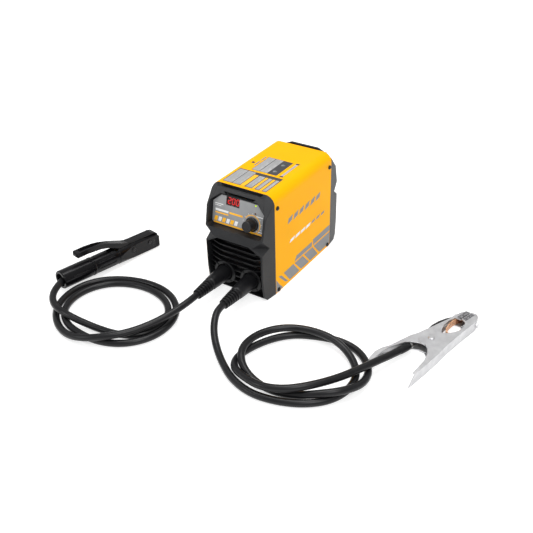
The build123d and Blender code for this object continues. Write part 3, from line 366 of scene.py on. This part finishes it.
# ---- printed graphics: thin films just off the surfaces that carry them ----
TOP_LAYERS = (200.12, 200.18, 200.24)
SIDE_FILM = 65.12
PANEL_FILM = 0.5
PANEL_TILT = math.radians(10.09)
PANEL_FACE = (0, -115.03, 150)


def sheet(name, outlines, material, place):
    """Flat outlines in millimetres, put on the object by place."""
    points = []
    polygons = []
    for outline in outlines:
        polygons.append(tuple(range(len(points), len(points) + len(outline))))
        points += [tuple(v * MM for v in place(*p)) for p in outline]
    ride_on(name, surface(name, points, polygons, material), "machine")


def on_top(layer):
    return lambda x, y: (x, y, TOP_LAYERS[layer])


def on_side(hand):
    return lambda y, z: (hand * SIDE_FILM, y, z)


def on_panel(x, z):
    along = (z - PANEL_FACE[2]) / math.cos(PANEL_TILT)
    return (x, PANEL_FACE[1] + along * math.sin(PANEL_TILT) - PANEL_FILM * math.cos(PANEL_TILT),
            PANEL_FACE[2] + along * math.cos(PANEL_TILT) + PANEL_FILM * math.sin(PANEL_TILT))


def box(x0, x1, y0, y1, slant=0.0):
    return [(x0, y0), (x1, y0), (x1 + slant, y1), (x0 + slant, y1)]


# Top: two framed blocks of columns with rules, no wording.
greys = []
rules = []


def ruled_column(x0, x1, y0, y1, rows, pitch, height, gaps):
    """Pale column crossed by rules, which end at uneven gaps from its right edge."""
    greys.append(box(x0, x1, y0, y1))
    for row in range(rows):
        y = y0 + 2 + row * pitch
        rules.append(box(x0 + 1, x1 - 1 - gaps[row % len(gaps)], y, y + height))


FRONT_GAPS = (0, 1.6, 3.2, 0.8, 2.4)
REAR_GAPS = (0, 1.4, 2.8, 4.2)
for left, right in ((-46.5, -29), (-27.5, -12)):
    ruled_column(left, right, -91.5, -39, 12, 4.2, 1.1, FRONT_GAPS)
for left, right in ((0, 12), (20, 27), (35, 41.5)):
    ruled_column(left, right, -91.5, -46, 10, 4.2, 1.1, FRONT_GAPS)
for left, right in ((-27, -12), (-10.5, 5)):
    ruled_column(left, right, -30, 27, 12, 4.5, 1.2, REAR_GAPS)
for y in (-18, 10):
    rules.append([(12, y - 4), (18, y), (17, y + 3), (14, y + 1), (13, y + 5), (10, y + 1)])
greys.append(box(32, 37, -27, 25))
rules += [box(-34, -31, y, y + 18) for y in (-14, 8)]
darks = [box(-48, 43, -93, -36.5), box(-28, 25, -31, 28), box(31, 38, -31, -27), box(31, 38, 25, 30),
         box(-44, -38, -8, -2)]
ambers = [box(left, right, -92.5, -46) for left, right in ((-10.5, -2), (13.5, 18.5), (28.5, 33.5))]
sheet("top_label_dark", darks, INK_DARK, on_top(0))
sheet("top_label_grey", greys, STRIPE_PALE, on_top(1))
sheet("top_label_amber", ambers, INK_AMBER, on_top(1))
sheet("top_label_rules", rules, STRIPE, on_top(2))

# Sides, from front to rear: slabs along the lower edge, a stepped block above them and rows of bars.
SLABS = [[(-99, 30), (-86, 12), (-76, 1.5), (-99, 1.5)],
         [(-91, 33), (-81, 30), (-58, 5), (-68, 9)],
         [(-73, 31), (-39, 31.5), (-17, 4.5), (-52, 4.5)],
         [(-35, 31), (-5, 31), (19, 5), (-11, 5)],
         [(0, 31), (32, 31), (53, 5), (23, 5)],
         [(36, 31), (99, 31), (99, 5), (59, 5)],
         [(-35, 34), (-28, 44), (30, 44), (30, 34)],
         [(34, 34), (34, 47), (99, 47), (99, 34)]]
BAR_ROWS = [("bars", ((0, 126), (14, 129), (17, 139), (3, 136)), (-58, -38, -18, 2, 22, 42), STRIPE),
            ("pale_bars", ((0, 84), (15, 85), (19, 91), (4, 90)), (-52, -33, -14, 5), INK_WHITE),
            ("rear_bars", ((0, 85), (12, 86), (15, 91), (3, 90)), (26, 44, 62), STRIPE)]
for name, hand in (("side_right", 1), ("side_left", -1)):
    sheet(name + "_slabs", SLABS, STRIPE, on_side(hand))
    for row, corners, starts, ink in BAR_ROWS:
        bars = [[(start + y, z) for y, z in corners] for start in starts]
        sheet(f"{name}_{row}", bars, ink, on_side(hand))

# Control panel: amber line and blocks, pale rules, scale arc round the knob.
blocks = [box(-52 + i * 8.6, -45.5 + i * 8.6, 132.5, 141, 2) for i in range(6)]
amber_rules = [box(-20, 8, 151, 154.5), box(-50, -22, 146.5, 149)]
white_rules = [box(-50, -22, 151, 155), box(-52, -34, 163.5, 165), box(-52, -38, 160.5, 161.6),
               box(36, 50, 160, 161.4), box(38, 50, 133.2, 134.6)]
sheet("panel_line", [box(-52.5, 52.5, 128.0, 131.0)], INK_AMBER, on_panel)
sheet("panel_blocks_amber", blocks[::2] + amber_rules, INK_AMBER, on_panel)
sheet("panel_blocks_white", blocks[1::2] + white_rules, INK_WHITE, on_panel)
KNOB = (28.5, 144.4)


def arc(radius, width, first, last, steps):
    """Strip of a ring round the knob, as four-sided patches."""
    outer = radius + width
    patches = []
    for step in range(steps):
        a0 = math.radians(first + (last - first) * step / steps)
        a1 = math.radians(first + (last - first) * (step + 1) / steps)
        patches.append([(KNOB[0] + r * math.cos(a), KNOB[1] + r * math.sin(a))
                        for r, a in ((radius, a0), (outer, a0), (outer, a1), (radius, a1))])
    return patches


ticks = []
for angle in range(225, -46, -27):
    ticks += arc(18.0, 1.8, angle - 1.4, angle + 1.4, 1)
sheet("scale_arc", arc(15.6, 1.5, -95, 150, 48), INK_AMBER, on_panel)
sheet("scale_ticks", ticks, INK_WHITE, on_panel)

# ---- floor and light ----
FLOOR_RADIUS = 60
FLOOR_SIDES = 48
FLOOR_GAP = 0.5 * MM

FLOOR = finish("floor", (0.55, 0.55, 0.55), (0.57, 0.57, 0.57), 0.9, patch=2, specular=0.0, glow=1.15)
turns = [index * math.tau / FLOOR_SIDES for index in range(FLOOR_SIDES)]
rim = [(FLOOR_RADIUS * math.cos(turn), FLOOR_RADIUS * math.sin(turn), 0) for turn in turns]
floor = bpy.data.objects.new("floor", surface("floor", rim, [tuple(range(FLOOR_SIDES))], FLOOR))
floor.location.z = -FLOOR_GAP
bpy.context.collection.objects.link(floor)

world = bpy.data.worlds.new("studio")
world.use_nodes = True
sky = world.node_tree.nodes["Background"]
sky.inputs["Color"].default_value = (1, 1, 1, 1)
sky.inputs["Strength"].default_value = 0.55
bpy.context.scene.world = world


def softbox(name, place, target, size, power):
    """Square light of a size in metres and a power in watts, turned to its target."""
    light = bpy.data.objects.new(name, bpy.data.lights.new(name, "AREA"))
    light.data.size = size
    light.data.energy = power
    light.location = place
    light.rotation_euler = (Vector(target) - Vector(place)).to_track_quat("-Z", "Y").to_euler()
    bpy.context.collection.objects.link(light)


softbox("key", (1.3, -1.1, 1.9), (0.05, -0.1, 0.05), 0.6, 17)
softbox("fill", (-1.2, -1.8, 1.2), (-0.1, -0.2, 0.05), 0.7, 9)
softbox("top", (-0.1, 0.1, 2.2), (0, -0.1, 0), 1.3, 30)
